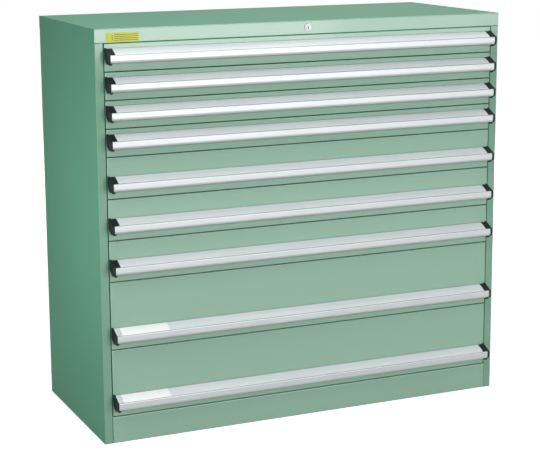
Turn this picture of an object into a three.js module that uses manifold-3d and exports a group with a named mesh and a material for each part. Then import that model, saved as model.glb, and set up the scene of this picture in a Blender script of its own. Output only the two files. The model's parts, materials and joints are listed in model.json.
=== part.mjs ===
// Industrial drawer cabinet: a sheet steel casing with nine full-width drawers on roller runners,
// hooked aluminium handles between plastic end caps, and one lock that holds all the drawers.
// Millimetres, +Z up, +X to the right seen from the front, and the drawers open towards -Y.
// The origin lies on the floor, in the middle of the box around the casing and its handles.

import * as THREE from "three";
import { mergeVertices } from "three/addons/utils/BufferGeometryUtils.js";
import Module from "manifold-3d";

// Casing
const cabinetWidth = 1300;
const cabinetDepth = 550;
const cabinetHeight = 1200;
const topStripHeight = 40;
const plinthHeight = 80;
const casingSheet = 1.6;
const bendRadius = 2.4;
const postWidth = 25;
const postDepth = 20;
const rearFlange = 20;
const stripLip = 15;
const coverSideFlange = 25;
const backLip = 15;
const plinthLip = 25;
const plinthSideGap = 0.8;
const floorFlange = 30;
const baseFlange = 40;
const anchorHoleRadius = 6;
const anchorInset = 60;

// Drawer fronts from the top down, their heights in whole units of the grid that the runners hang on
const shallowCount = 4;
const shallowUnits = 2;
const middleCount = 3;
const middleUnits = 3;
const deepCount = 2;
const deepUnits = 5;
const frontSeam = 2.5;
const frontThickness = 18;
const frontSheet = 1.6;
const frontEdgeRadius = 2;
const frontLap = 10;

// Drawer trays
const runnerSpace = 27;
const traySheet = 1.2;
const trayRearGap = 34.8;
const trayReserve = 95;
const trayFloorGap = 8;
const trayTopGap = 14;
const trayHem = 9;

// Roller runners
const railSheet = 1.6;
const railRise = 14;
const railHeight = 30;
const railRearGap = 19.1;
const railSetback = 6;
const railFlange = 18.4;
const rollerRadius = 11;
const rollerWidth = 9;
const rollerPinRadius = 3.5;
const rollerSideGap = 6.8;
const rollerEndGap = 3;
const memberWebDepth = 26;
const memberFlange = 16.8;
const stopHeight = 5;
const stopLength = 6;
const weld = 0.4;
const uprightInset = 3;
const uprightWidth = 40;
const rearUprightSetback = 70;
const slotWidth = 8;
const slotLength = 20;

// Handles, sized outwards from the front and upwards from the drawer's lower seam
const handleRise = 66;
const handleSheet = 2.4;
const mountFlange = 24;
const noseReach = 36.7;
const noseTopRise = 48.6;
const noseFootRise = 27;
const lipReach = 21;
const lipRise = 24;
const noseRadius = 7;
const labelLip = 3;
const labelWidth = 29;
const labelDepth = 1;

// End caps
const capThickness = 4;
const capRim = 1;
const capTab = 18;
const capFootDrop = 6;

// Lock
const lockFlangeRadius = 9.75;
const lockFlangeThickness = 2;
const lockChamfer = 0.8;
const lockBarrelRadius = 8;
const lockBarrelLength = 20;
const lockNutRadius = 11;
const lockNutThickness = 5;
const plugRadius = 6;
const keyholeWidth = 2.2;
const keyholeHeight = 8;
const keyholeDepth = 4;
const camThickness = 2.5;
const camHubRadius = 7;
const camEndRadius = 4;
const camThrow = 9;
const camPinRadius = 2;
const camLean = Math.PI / 4;
const camSlotPlay = 0.6;
const linkThickness = 2;
const linkHeight = 14;
const linkEnd = 18;
const linkLegWidth = 18;
const linkPinDrop = 8;
const linkPinInset = 4.5;
const linkPinRadius = 2.5;
const linkPinMargin = 6;
const guideSheet = 1.6;
const guideMargin = 4;
const barThickness = 3;
const barWidth = 14;
const barInset = 5.5;
const barLift = 8;
const barPlateMargin = 4.5;
const barTail = 14;
const fingerHeight = 6;
const fingerGap = 3;
const fingerPlay = 1.5;
const catchReach = 7.4;
const catchHeight = 5;
const catchSheet = 1.6;
const catchLeg = 12;
const catchRise = 3;
const catchPlay = 0.7;
const keeperHeight = 20;
const keeperSheet = 1.6;
const keeperLap = 5;

// Where along the height or the width the lock's guides and keepers sit
const guideShares = [0.12, 0.36];
const keeperShares = [0.25, 0.55, 0.86];

// Clearances and facets
const seat = 0.3;
const overrun = 5;
const bendSteps = 3;
const noseSteps = 5;
const rollerSides = 14;
const lockSides = 24;
const smallSides = 12;
const slotSteps = 6;

const wasm = await Module();
wasm.setup();

// Finishes
const paint = new THREE.MeshStandardMaterial({ color: 0x8cb8a0, roughness: 0.5, metalness: 0 });
const anodised = new THREE.MeshStandardMaterial({ color: 0xe2e6e8, roughness: 0.3, metalness: 0.8 });
const blackPlastic = new THREE.MeshStandardMaterial({ color: 0x16201d, roughness: 0.5, metalness: 0 });
const zincSteel = new THREE.MeshStandardMaterial({ color: 0xa9adaf, roughness: 0.4, metalness: 0.9 });
const chrome = new THREE.MeshStandardMaterial({ color: 0xcfd4d6, roughness: 0.15, metalness: 1 });
for (const finish of [paint, anodised, blackPlastic, zincSteel, chrome]) {
  finish.flatShading = true;
}

// Places worked out from the sizes
const frontUnits = [
  ...Array(shallowCount).fill(shallowUnits),
  ...Array(middleCount).fill(middleUnits),
  ...Array(deepCount).fill(deepUnits),
];
const unitCount = frontUnits.reduce((sum, units) => sum + units, 0);
const gridPitch = (cabinetHeight - topStripHeight - plinthHeight) / unitCount;
const frontHeights = frontUnits.map((units) => units * gridPitch);
const halfWidth = cabinetWidth / 2;
const handleReach = noseReach + capRim + seat;
const frontY = (handleReach - cabinetDepth) / 2;
const rearY = frontY + cabinetDepth;
const stripBottom = cabinetHeight - topStripHeight;
const drawerBottoms = frontHeights.map((height, index) => (
  stripBottom - frontHeights.slice(0, index + 1).reduce((sum, each) => sum + each, 0)
));
const openingHalf = halfWidth - postWidth;
const insideHalf = halfWidth - casingSheet - seat;
const frontHalf = openingHalf - frontSeam;
const trayHalf = openingHalf - runnerSpace;
const backY = rearY - casingSheet - seat;
const trayFrontY = frontY + frontThickness + seat;
const trayRearY = backY - trayRearGap;
const drawerTravel = trayRearY - trayFrontY - trayReserve;
const plinthTop = plinthHeight - frontSeam / 2;
const floorTop = plinthTop - casingSheet - seat;
const floorFrontY = frontY + postDepth + seat;
const floorRearY = backY - backLip - seat;

const railFrontY = frontY + frontThickness + railSetback;
const railRearY = backY - railRearGap;
const uprightFace = openingHalf - uprightInset;
const railWebFace = uprightFace + weld;
const rollerAxisRise = railRise + railSheet + seat + rollerRadius;
const memberFlangeRise = rollerAxisRise + rollerRadius + seat;
const frontRollerY = railFrontY + rollerEndGap + rollerRadius;
const rearRollerY = trayRearY - rollerEndGap - rollerRadius;
const rollerInner = trayHalf + railSheet - weld + rollerSideGap;
const rollerOuter = rollerInner + rollerWidth;

const lockZ = stripBottom + topStripHeight / 2;
const housingEndY = frontY + lockBarrelLength;
const camY = housingEndY + seat;
const linkY = camY + camThickness + seat;
const barY = linkY + linkThickness + seat;
const barBackY = barY + barThickness;
const frontUprightY = barBackY + seat;
const rearUprightY = rearY - rearUprightSetback - uprightWidth;
const camSwing = camThrow * Math.sin(camLean);
const linkTravel = 2 * camSwing;
const linkMiddleZ = lockZ + (camThrow + camSwing) / 2;
const linkPinX = uprightFace - linkPinInset;
const linkPinZ = lockZ - linkPinDrop;
const barInner = uprightFace + barInset;
const catchZ = railRise + railHeight + catchRise;

// Outlines
function arcPoints(x, y, radius, from, to, steps) {
  const points = [];
  for (let step = 0; step <= steps; step += 1) {
    const angle = from + ((to - from) * step) / steps;
    points.push(new THREE.Vector2(x + radius * Math.cos(angle), y + radius * Math.sin(angle)));
  }
  return points;
}

function slotOutline(x1, y1, x2, y2, radius) {
  const angle = Math.atan2(y2 - y1, x2 - x1);
  const quarter = Math.PI / 2;
  return [
    ...arcPoints(x1, y1, radius, angle + quarter, angle + 3 * quarter, slotSteps),
    ...arcPoints(x2, y2, radius, angle - quarter, angle + quarter, slotSteps),
  ];
}

function boxOutline(x1, y1, x2, y2) {
  return [[x1, y1], [x2, y1], [x2, y2], [x1, y2]].map(([x, y]) => new THREE.Vector2(x, y));
}

function mirrored(outline, side) {
  return outline.map((point) => new THREE.Vector2(side * point.x, point.y));
}

// A line through the corners, rounded by each corner's radius, with the left-hand normal at every point
function roundedLine(corners, radii, steps) {
  const places = corners.map(([x, y]) => new THREE.Vector2(x, y));
  const line = [];
  const leftOf = (direction) => new THREE.Vector2(-direction.y, direction.x);
  for (let index = 0; index < places.length; index += 1) {
    const corner = places[index];
    const before = index > 0 ? corner.clone().sub(places[index - 1]).normalize() : null;
    const after = index < places.length - 1 ? places[index + 1].clone().sub(corner).normalize() : null;
    if (!before || !after) {
      line.push({ point: corner, normal: leftOf(before ?? after) });
      continue;
    }
    const turn = Math.atan2(before.cross(after), before.dot(after));
    const radius = radii[index - 1];
    if (radius === 0) {
      const mitre = leftOf(before).add(leftOf(after)).divideScalar(1 + before.dot(after));
      line.push({ point: corner, normal: mitre });
      continue;
    }
    const side = Math.sign(turn);
    const start = corner.clone().addScaledVector(before, -radius * Math.tan(Math.abs(turn) / 2));
    const centre = start.clone().addScaledVector(leftOf(before), side * radius);
    for (let step = 0; step <= steps; step += 1) {
      const normal = leftOf(before).rotateAround(new THREE.Vector2(), (turn * step) / steps);
      line.push({ point: centre.clone().addScaledVector(normal, -side * radius), normal });
    }
  }
  return line;
}

function offsetLine(line, distance) {
  return line.map(({ point, normal }) => point.clone().addScaledVector(normal, distance));
}

// The outline of a folded sheet, whose thickness lies to the left of the line through its corners
function foldedSheet(corners, thickness, radii, steps = bendSteps) {
  const bends = Array.isArray(radii) ? radii : Array(corners.length - 2).fill(radii);
  const line = roundedLine(corners, bends, steps);
  return [...offsetLine(line, 0), ...offsetLine(line, thickness).reverse()];
}

// Solids
function solidOf(geometry) {
  geometry.deleteAttribute("normal");
  geometry.deleteAttribute("uv");
  const merged = mergeVertices(geometry);
  const vertProperties = Float32Array.from(merged.attributes.position.array);
  const triVerts = Uint32Array.from(merged.index.array);
  return new wasm.Manifold(new wasm.Mesh({ numProp: 3, vertProperties, triVerts }));
}

function extrusion(outline, holes, from, to, turn) {
  const shape = new THREE.Shape(outline);
  for (const hole of holes) {
    shape.holes.push(new THREE.Path(hole));
  }
  const geometry = new THREE.ExtrudeGeometry(shape, { depth: to - from, bevelEnabled: false });
  return geometry.applyMatrix4(turn);
}

// Outlines in x and y, extruded upwards
function extrudeZ(outline, from, to, holes = []) {
  return solidOf(extrusion(outline, holes, from, to, new THREE.Matrix4()).translate(0, 0, from));
}

// Outlines in y and z, extruded along x
function extrudeX(outline, from, to, holes = []) {
  const turn = new THREE.Matrix4().set(0, 0, 1, 0, 1, 0, 0, 0, 0, 1, 0, 0, 0, 0, 0, 1);
  return solidOf(extrusion(outline, holes, from, to, turn).translate(from, 0, 0));
}

// Outlines in x and z, extruded along y
function extrudeY(outline, from, to, holes = []) {
  const turn = new THREE.Matrix4().makeRotationX(Math.PI / 2);
  return solidOf(extrusion(outline, holes, from, to, turn).translate(0, to, 0));
}

function box(x1, y1, z1, x2, y2, z2) {
  return extrudeZ(boxOutline(x1, y1, x2, y2), Math.min(z1, z2), Math.max(z1, z2));
}

function rodX(x1, x2, y, z, radius, sides) {
  const rod = new THREE.CylinderGeometry(radius, radius, Math.abs(x2 - x1), sides);
  return solidOf(rod.rotateZ(Math.PI / 2).translate((x1 + x2) / 2, y, z));
}

function rodY(x, y1, y2, z, radius, sides) {
  return solidOf(new THREE.CylinderGeometry(radius, radius, y2 - y1, sides).translate(x, (y1 + y2) / 2, z));
}

function rodZ(x, y, z1, z2, radius, sides) {
  const rod = new THREE.CylinderGeometry(radius, radius, z2 - z1, sides);
  return solidOf(rod.rotateX(Math.PI / 2).translate(x, y, (z1 + z2) / 2));
}

function revolvedY(profile, x, z, sides) {
  const points = profile.map(([radius, y]) => new THREE.Vector2(radius, y));
  return solidOf(new THREE.LatheGeometry(points, sides).translate(x, 0, z));
}

function joined(solids) {
  return solids.reduce((whole, solid) => whole.add(solid));
}

function cut(solid, tools) {
  return tools.reduce((whole, tool) => whole.subtract(tool), solid);
}

const cabinet = new THREE.Group();

function place(name, solid, material) {
  const { vertProperties, triVerts } = solid.getMesh();
  const geometry = new THREE.BufferGeometry();
  geometry.setAttribute("position", new THREE.BufferAttribute(vertProperties, 3));
  geometry.setIndex(new THREE.BufferAttribute(triVerts, 1));
  geometry.computeVertexNormals();
  const mesh = new THREE.Mesh(geometry, material);
  mesh.name = name;
  cabinet.add(mesh);
}

// Side panel: one sheet folded into the front post, the side and the rear flange, notched for the cover
function sidePanel(side) {
  const section = foldedSheet(
    [
      [openingHalf, frontY + postDepth],
      [openingHalf, frontY],
      [halfWidth, frontY],
      [halfWidth, rearY],
      [halfWidth - rearFlange, rearY],
    ],
    casingSheet,
    bendRadius,
  );
  const notch = (inner, outer, from, to) => box(
    side * inner, from, stripBottom - seat, side * outer, to, cabinetHeight + overrun,
  );
  const beyond = halfWidth + overrun;
  return cut(extrudeZ(mirrored(section, side), 0, cabinetHeight), [
    notch(openingHalf - overrun, beyond, frontY - overrun, frontY + casingSheet + seat),
    notch(openingHalf - overrun, insideHalf, frontY - overrun, frontY + postDepth + overrun),
    notch(halfWidth - rearFlange - overrun, beyond, rearY - casingSheet - seat, rearY + overrun),
  ]);
}

// Top cover: front strip, top and rear flange in one fold, side flanges inside the side panels
function topCover() {
  const section = foldedSheet(
    [
      [rearY, stripBottom],
      [rearY, cabinetHeight],
      [frontY, cabinetHeight],
      [frontY, stripBottom],
      [frontY + stripLip, stripBottom],
    ],
    casingSheet,
    bendRadius,
  );
  const flanges = foldedSheet(
    [
      [insideHalf, cabinetHeight - coverSideFlange],
      [insideHalf, cabinetHeight],
      [-insideHalf, cabinetHeight],
      [-insideHalf, cabinetHeight - coverSideFlange],
    ],
    casingSheet,
    bendRadius,
  );
  const sideNotches = [-1, 1].map((side) => box(
    side * insideHalf, frontY + casingSheet, stripBottom - overrun,
    side * (halfWidth + overrun), rearY - casingSheet, cabinetHeight + overrun,
  ));
  const shell = cut(extrudeX(section, -halfWidth, halfWidth), sideNotches);
  const lockHole = rodY(
    0, frontY - overrun, frontY + casingSheet + overrun, lockZ, lockBarrelRadius + seat, lockSides,
  );
  const guides = guideShares.map((share) => linkGuide(share * cabinetWidth));
  const pan = shell.add(extrudeY(flanges, frontY + casingSheet / 2, rearY - casingSheet / 2));
  return cut(joined([pan, ...guides]), [lockHole]);
}

// A bracket under the cover, with a window that the lock's link slides through
function linkGuide(x) {
  const front = linkY - seat;
  const rear = linkY + linkThickness + seat;
  const low = linkMiddleZ - linkHeight / 2 - seat;
  const window = boxOutline(front, low, rear, linkMiddleZ + linkHeight / 2 + seat);
  const outline = boxOutline(
    front - guideMargin, low - guideMargin, rear + guideMargin, cabinetHeight - casingSheet / 2,
  );
  return extrudeX(outline, x, x + guideSheet, [window]);
}

function backPanel() {
  const section = foldedSheet(
    [
      [insideHalf, backY - backLip],
      [insideHalf, backY],
      [-insideHalf, backY],
      [-insideHalf, backY - backLip],
    ],
    casingSheet,
    bendRadius,
  );
  return extrudeZ(section, 0, cabinetHeight - coverSideFlange - seat);
}

function plinthFront() {
  const section = foldedSheet(
    [[frontY + plinthLip, plinthTop], [frontY, plinthTop], [frontY, 0], [frontY + postDepth, 0]],
    casingSheet,
    bendRadius,
  );
  return extrudeX(section, plinthSideGap - openingHalf, openingHalf - plinthSideGap);
}

function floorPan() {
  const section = foldedSheet(
    [
      [floorRearY, floorTop - floorFlange],
      [floorRearY, floorTop],
      [floorFrontY, floorTop],
      [floorFrontY, floorTop - floorFlange],
    ],
    casingSheet,
    bendRadius,
  );
  return extrudeX(section, -insideHalf, insideHalf);
}

// Base rail: a channel from front to back that carries the floor pan and is bolted to the ground
function baseRail(side) {
  const top = floorTop - casingSheet - seat;
  const section = foldedSheet(
    [[insideHalf - baseFlange, 0], [insideHalf, 0], [insideHalf, top], [insideHalf - baseFlange, top]],
    casingSheet,
    bendRadius,
  );
  const from = floorFrontY + casingSheet + seat;
  const to = floorRearY - casingSheet - seat;
  const holes = [from + anchorInset, to - anchorInset].map((y) => rodZ(
    side * (insideHalf - baseFlange / 2), y, -overrun, casingSheet + overrun, anchorHoleRadius, smallSides,
  ));
  return cut(extrudeY(mirrored(section, side), from, to), holes);
}

// Runner frame: two slotted uprights with one roller rail for each drawer
function upright(side, from) {
  const section = foldedSheet(
    [
      [insideHalf, from + uprightWidth],
      [uprightFace, from + uprightWidth],
      [uprightFace, from],
      [insideHalf, from],
    ],
    casingSheet,
    0,
  );
  const bottom = floorTop + seat;
  const top = cabinetHeight - coverSideFlange - seat;
  const middle = from + uprightWidth / 2;
  const slots = [];
  for (let z = bottom + gridPitch / 2; z < top - gridPitch / 2; z += gridPitch) {
    const crossesRail = drawerBottoms.some((low) => (
      z + slotLength / 2 > low + railRise && z - slotLength / 2 < low + railRise + railHeight
    ));
    if (!crossesRail) {
      slots.push(box(
        side * (uprightFace - overrun), middle - slotWidth / 2, z - slotLength / 2,
        side * (uprightFace + overrun), middle + slotWidth / 2, z + slotLength / 2,
      ));
    }
  }
  return cut(extrudeZ(mirrored(section, side), bottom, top), slots);
}

function runnerRail(side, low) {
  const bottom = low + railRise;
  const section = foldedSheet(
    [
      [railWebFace - railFlange, bottom],
      [railWebFace, bottom],
      [railWebFace, bottom + railHeight],
      [railWebFace - railFlange, bottom + railHeight],
    ],
    railSheet,
    0,
  );
  const axisZ = low + rollerAxisRise;
  const drop = rollerRadius + seat - stopHeight;
  const stopY = rearRollerY - drawerTravel - Math.sqrt(rollerRadius ** 2 - drop ** 2) - seat;
  const flangeTop = bottom + railSheet;
  return joined([
    extrudeY(mirrored(section, side), railFrontY, railRearY),
    rodX(side * rollerInner, side * rollerOuter, frontRollerY, axisZ, rollerRadius, rollerSides),
    rodX(side * rollerInner, side * (railWebFace - weld), frontRollerY, axisZ, rollerPinRadius, smallSides),
    box(
      side * rollerInner, stopY - stopLength, flangeTop - weld,
      side * rollerOuter, stopY, flangeTop + stopHeight,
    ),
  ]);
}

// A hook on the front upright that keeps the lock bar against it
function barKeeper(share) {
  const outerFace = barInner + barWidth + seat + keeperSheet;
  const section = foldedSheet(
    [
      [outerFace, frontUprightY + casingSheet / 2],
      [outerFace, barY - seat - keeperSheet],
      [barInner + barWidth - keeperLap, barY - seat - keeperSheet],
    ].reverse(),
    keeperSheet,
    0,
  );
  const z = share * cabinetHeight;
  return extrudeZ(section, z, z + keeperHeight);
}

function runnerFrame(side) {
  const keepers = side > 0 ? keeperShares.map(barKeeper) : [];
  return joined([
    upright(side, frontUprightY),
    upright(side, rearUprightY),
    ...drawerBottoms.map((low) => runnerRail(side, low)),
    ...keepers,
  ]);
}

// Drawer tray: floor and sides in one fold, end walls, a runner member and a rear roller on each side,
// and on the right the catch that the lock bar's finger holds
function drawerTray(low, height) {
  const bottom = low + trayFloorGap;
  const top = low + height - trayTopGap;
  const trough = foldedSheet(
    [
      [trayHem - trayHalf, top],
      [-trayHalf, top],
      [-trayHalf, bottom],
      [trayHalf, bottom],
      [trayHalf, top],
      [trayHalf - trayHem, top],
    ],
    traySheet,
    0,
  );
  const frontWall = foldedSheet(
    [[trayFrontY + trayHem, top], [trayFrontY, top], [trayFrontY, bottom]], traySheet, 0,
  );
  const rearWall = foldedSheet(
    [[trayRearY, bottom], [trayRearY, top], [trayRearY - trayHem, top]], traySheet, 0,
  );
  const wallEnd = trayHalf - traySheet / 2;
  return joined([
    extrudeY(trough, trayFrontY, trayRearY),
    extrudeX(frontWall, -wallEnd, wallEnd),
    extrudeX(rearWall, -wallEnd, wallEnd),
    runnerMember(-1, low),
    runnerMember(1, low),
    lockCatch(low),
  ]);
}

function runnerMember(side, low) {
  const webFace = trayHalf + railSheet - weld;
  const flangeZ = low + memberFlangeRise;
  const section = foldedSheet(
    [[webFace, flangeZ - memberWebDepth], [webFace, flangeZ], [webFace + memberFlange, flangeZ]],
    railSheet,
    0,
  );
  const axisZ = low + rollerAxisRise;
  return joined([
    extrudeY(mirrored(section, side), trayFrontY, trayRearY),
    rodX(side * rollerInner, side * rollerOuter, rearRollerY, axisZ, rollerRadius, rollerSides),
    rodX(side * (webFace - weld), side * rollerOuter, rearRollerY, axisZ, rollerPinRadius, smallSides),
  ]);
}

function lockCatch(low) {
  const y = barBackY + catchPlay;
  const legX = trayHalf - weld;
  const section = foldedSheet(
    [[legX, y + catchLeg], [legX, y], [trayHalf + catchReach, y]], catchSheet, 0,
  );
  return extrudeZ(section, low + catchZ, low + catchZ + catchHeight);
}

// Drawer front: a pan with rounded front edges, whose rear returns lap over the tray's front wall
function drawerFront(low, height) {
  const bottom = low + frontSeam / 2;
  const top = low + height - frontSeam / 2;
  const shape = new THREE.Shape(boxOutline(-frontHalf, bottom, frontHalf, top));
  const block = new THREE.ExtrudeGeometry(shape, {
    depth: frontThickness,
    bevelSize: frontEdgeRadius,
    bevelThickness: frontEdgeRadius,
    bevelOffset: -frontEdgeRadius,
    bevelSegments: bendSteps,
  });
  const rear = frontY + frontThickness;
  const blockRear = rear + frontEdgeRadius;
  const windowHalf = trayHalf - frontLap;
  const hollow = box(
    frontSheet - frontHalf, frontY + frontSheet, bottom + frontSheet,
    frontHalf - frontSheet, rear - frontSheet, top - frontSheet,
  );
  const window = box(
    -windowHalf, rear - frontSheet - weld, low + trayFloorGap + frontLap,
    windowHalf, blockRear + overrun, low + height - trayTopGap - frontLap,
  );
  const behind = box(
    -frontHalf - overrun, rear, bottom - overrun,
    frontHalf + overrun, blockRear + overrun, top + overrun,
  );
  return cut(solidOf(block.rotateX(Math.PI / 2).translate(0, blockRear, 0)), [hollow, window, behind]);
}

// Handle: the section's line runs from the lip under the nose, round the nose and up the label face
const handleCorners = [
  [lipReach, lipRise],
  [noseReach, noseFootRise],
  [noseReach, noseTopRise],
  [0, handleRise],
  [0, handleRise - mountFlange],
];
const labelDirection = new THREE.Vector2(noseReach, noseTopRise - handleRise).normalize();
const labelNormal = new THREE.Vector2(-labelDirection.y, labelDirection.x);

// Points given outwards from the front and upwards from the drawer's lower seam, turned into y and z
function onFront(outline, low) {
  return outline.map((point) => new THREE.Vector2(frontY - seat - point.x, low + point.y));
}

// A flat strip along the label face, between two heights over that face
function labelStrip(inset, bottom, top) {
  const corner = (along, over) => new THREE.Vector2(0, handleRise)
    .addScaledVector(labelDirection, along)
    .addScaledVector(labelNormal, over);
  const start = labelLip + inset;
  const end = labelLip + labelWidth - inset;
  return [corner(start, bottom), corner(end, bottom), corner(end, top), corner(start, top)];
}

function handle(low) {
  const section = foldedSheet(handleCorners, handleSheet, [noseRadius, noseRadius, 0], noseSteps);
  const half = frontHalf - capThickness - seat;
  const channel = labelStrip(0, -labelDepth, overrun);
  return extrudeX(onFront(section, low), -half, half).subtract(
    extrudeX(onFront(channel, low), -half - overrun, half + overrun),
  );
}

// End cap: a plate that closes the handle's end, with a tab that lies in the label channel
function endCap(side, low) {
  const noseLine = roundedLine(handleCorners.slice(0, -1), [noseRadius, noseRadius], noseSteps);
  const rim = offsetLine(noseLine, -capRim);
  const plate = [
    ...rim,
    new THREE.Vector2(0, rim[rim.length - 1].y),
    new THREE.Vector2(0, handleRise - mountFlange - capFootDrop),
  ];
  const tab = labelStrip(seat, seat - labelDepth, capRim);
  const inner = frontHalf - capThickness;
  const along = (outline, near, far) => extrudeX(
    onFront(outline, low), Math.min(side * near, side * far), Math.max(side * near, side * far),
  );
  const tabEnd = frontHalf - capTab;
  return along(plate, inner, frontHalf).add(along(tab, tabEnd, inner + capThickness / 2));
}

// Lock: the cylinder's cam pin pushes the link sideways, and the link's pin lifts or lowers the bar
function lockHousing() {
  const face = frontY - lockFlangeThickness - seat;
  const nutY = frontY + casingSheet + seat;
  const bore = plugRadius + seat;
  return revolvedY(
    [
      [bore, face],
      [lockFlangeRadius - lockChamfer, face],
      [lockFlangeRadius, face + lockChamfer],
      [lockFlangeRadius, frontY - seat],
      [lockBarrelRadius, frontY - seat],
      [lockBarrelRadius, nutY],
      [lockNutRadius, nutY],
      [lockNutRadius, nutY + lockNutThickness],
      [lockBarrelRadius, nutY + lockNutThickness],
      [lockBarrelRadius, housingEndY],
      [bore, housingEndY],
      [bore, face],
    ],
    0,
    lockZ,
    lockSides,
  );
}

function lockCylinder() {
  const face = frontY - lockFlangeThickness - seat;
  const plug = revolvedY(
    [[0, face], [plugRadius, face], [plugRadius, camY + camThickness], [0, camY + camThickness]],
    0,
    lockZ,
    lockSides,
  );
  const keyhole = box(
    -keyholeWidth / 2, face - overrun, lockZ - keyholeHeight / 2,
    keyholeWidth / 2, face + keyholeDepth, lockZ + keyholeHeight / 2,
  );
  const pinX = -camSwing;
  const pinZ = lockZ + camSwing;
  const cam = new THREE.Shape([
    ...arcPoints(0, lockZ, camHubRadius, camLean + Math.PI, camLean + 2 * Math.PI, lockSides / 2),
    ...arcPoints(pinX, pinZ, camEndRadius, camLean, camLean + Math.PI, lockSides / 2),
  ]);
  return joined([
    cut(plug, [keyhole]),
    extrudeY(cam.getPoints(), camY, camY + camThickness),
    rodY(pinX, camY, barY - seat, pinZ, camPinRadius, smallSides),
  ]);
}

function lockLink() {
  const low = linkMiddleZ - linkHeight / 2;
  const high = linkMiddleZ + linkHeight / 2;
  const right = linkPinX + linkPinMargin;
  const outline = [
    [-camSwing - linkEnd, low],
    [right - linkLegWidth, low],
    [right - linkLegWidth, linkPinZ - linkPinMargin],
    [right, linkPinZ - linkPinMargin],
    [right, high],
    [-camSwing - linkEnd, high],
  ].map(([x, z]) => new THREE.Vector2(x, z));
  const camSlot = slotOutline(
    -camSwing, lockZ + camSwing, -camSwing, lockZ + camThrow, camPinRadius + camSlotPlay,
  );
  return extrudeY(outline, linkY, linkY + linkThickness, [camSlot]).add(
    rodY(linkPinX, linkY, barBackY, linkPinZ, linkPinRadius, smallSides),
  );
}

function lockBar() {
  const outer = barInner + barWidth;
  const slotRadius = linkPinRadius + seat;
  const plateLow = linkPinZ - slotRadius - barPlateMargin;
  const plateHigh = linkPinZ + barLift + slotRadius + barPlateMargin;
  const plateInner = linkPinX - slotRadius - barPlateMargin;
  const fingerTip = trayHalf + fingerGap;
  const outline = [
    [outer, plateHigh],
    [plateInner, plateHigh],
    [plateInner, plateLow],
    [barInner, plateLow],
  ];
  for (const low of drawerBottoms) {
    const fingerBottom = low + catchZ + catchHeight + fingerPlay;
    outline.push([barInner, fingerBottom + fingerHeight], [fingerTip, fingerBottom + fingerHeight]);
    outline.push([fingerTip, fingerBottom], [barInner, fingerBottom]);
  }
  const foot = drawerBottoms[drawerBottoms.length - 1] + catchZ + catchHeight + fingerPlay - barTail;
  outline.push([barInner, foot], [outer, foot]);
  const slot = slotOutline(linkPinX, linkPinZ, linkPinX + linkTravel, linkPinZ + barLift, slotRadius);
  return extrudeY(outline.map(([x, z]) => new THREE.Vector2(x, z)), barY, barBackY, [slot]);
}

// Assembly
place("left_side_panel", sidePanel(-1), paint);
place("right_side_panel", sidePanel(1), paint);
place("top_cover", topCover(), paint);
place("back_panel", backPanel(), paint);
place("plinth_front", plinthFront(), paint);
place("floor_pan", floorPan(), paint);
place("left_base_rail", baseRail(-1), paint);
place("right_base_rail", baseRail(1), paint);
place("left_runner_frame", runnerFrame(-1), zincSteel);
place("right_runner_frame", runnerFrame(1), zincSteel);
place("lock_housing", lockHousing(), chrome);
place("lock_cylinder", lockCylinder(), chrome);
place("lock_link", lockLink(), zincSteel);
place("lock_bar", lockBar(), zincSteel);

drawerBottoms.forEach((low, index) => {
  const name = `drawer_${index + 1}`;
  place(`${name}_tray`, drawerTray(low, frontHeights[index]), paint);
  place(`${name}_front`, drawerFront(low, frontHeights[index]), paint);
  place(`${name}_handle`, handle(low), anodised);
  place(`${name}_left_cap`, endCap(-1, low), blackPlastic);
  place(`${name}_right_cap`, endCap(1, low), blackPlastic);
});

export default cabinet;
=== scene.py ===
import json
import math

import bmesh
import bpy
from mathutils import Matrix, Vector


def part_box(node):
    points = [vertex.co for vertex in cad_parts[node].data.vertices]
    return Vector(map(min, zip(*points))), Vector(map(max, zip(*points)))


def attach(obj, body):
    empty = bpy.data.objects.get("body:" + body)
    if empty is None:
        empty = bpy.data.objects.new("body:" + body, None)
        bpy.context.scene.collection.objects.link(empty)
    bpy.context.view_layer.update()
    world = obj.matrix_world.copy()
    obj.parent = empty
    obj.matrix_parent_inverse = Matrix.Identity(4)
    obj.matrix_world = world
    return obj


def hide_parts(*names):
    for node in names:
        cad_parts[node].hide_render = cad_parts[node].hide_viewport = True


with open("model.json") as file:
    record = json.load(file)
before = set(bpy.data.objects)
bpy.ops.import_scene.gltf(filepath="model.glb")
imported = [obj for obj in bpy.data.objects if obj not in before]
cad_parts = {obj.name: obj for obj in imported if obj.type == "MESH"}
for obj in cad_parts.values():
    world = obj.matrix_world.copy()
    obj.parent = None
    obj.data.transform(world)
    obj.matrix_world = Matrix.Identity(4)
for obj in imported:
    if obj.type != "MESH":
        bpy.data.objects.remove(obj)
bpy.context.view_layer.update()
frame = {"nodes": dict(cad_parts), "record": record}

# Industrial drawer cabinet. Metres, +Z up, and the drawers open towards -Y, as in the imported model.

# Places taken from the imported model
FRONT_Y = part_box("plinth_front")[0].y
REAR_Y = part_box("top_cover")[1].y
STRIP_LOW_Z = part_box("top_cover")[0].z
HALF_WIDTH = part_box("top_cover")[1].x
FRONT_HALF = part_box("drawer_1_front")[1].x
LOCK_Z = (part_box("lock_housing")[0].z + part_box("lock_housing")[1].z) / 2
LOCK_RADIUS = (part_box("lock_housing")[1].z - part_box("lock_housing")[0].z) / 2

# Drawers, and the pieces of the casing that are painted alike
DRAWERS = range(1, 10)
CASING_NODES = (
    "left_side_panel", "right_side_panel", "back_panel",
    "floor_pan", "left_base_rail", "right_base_rail",
)

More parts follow.
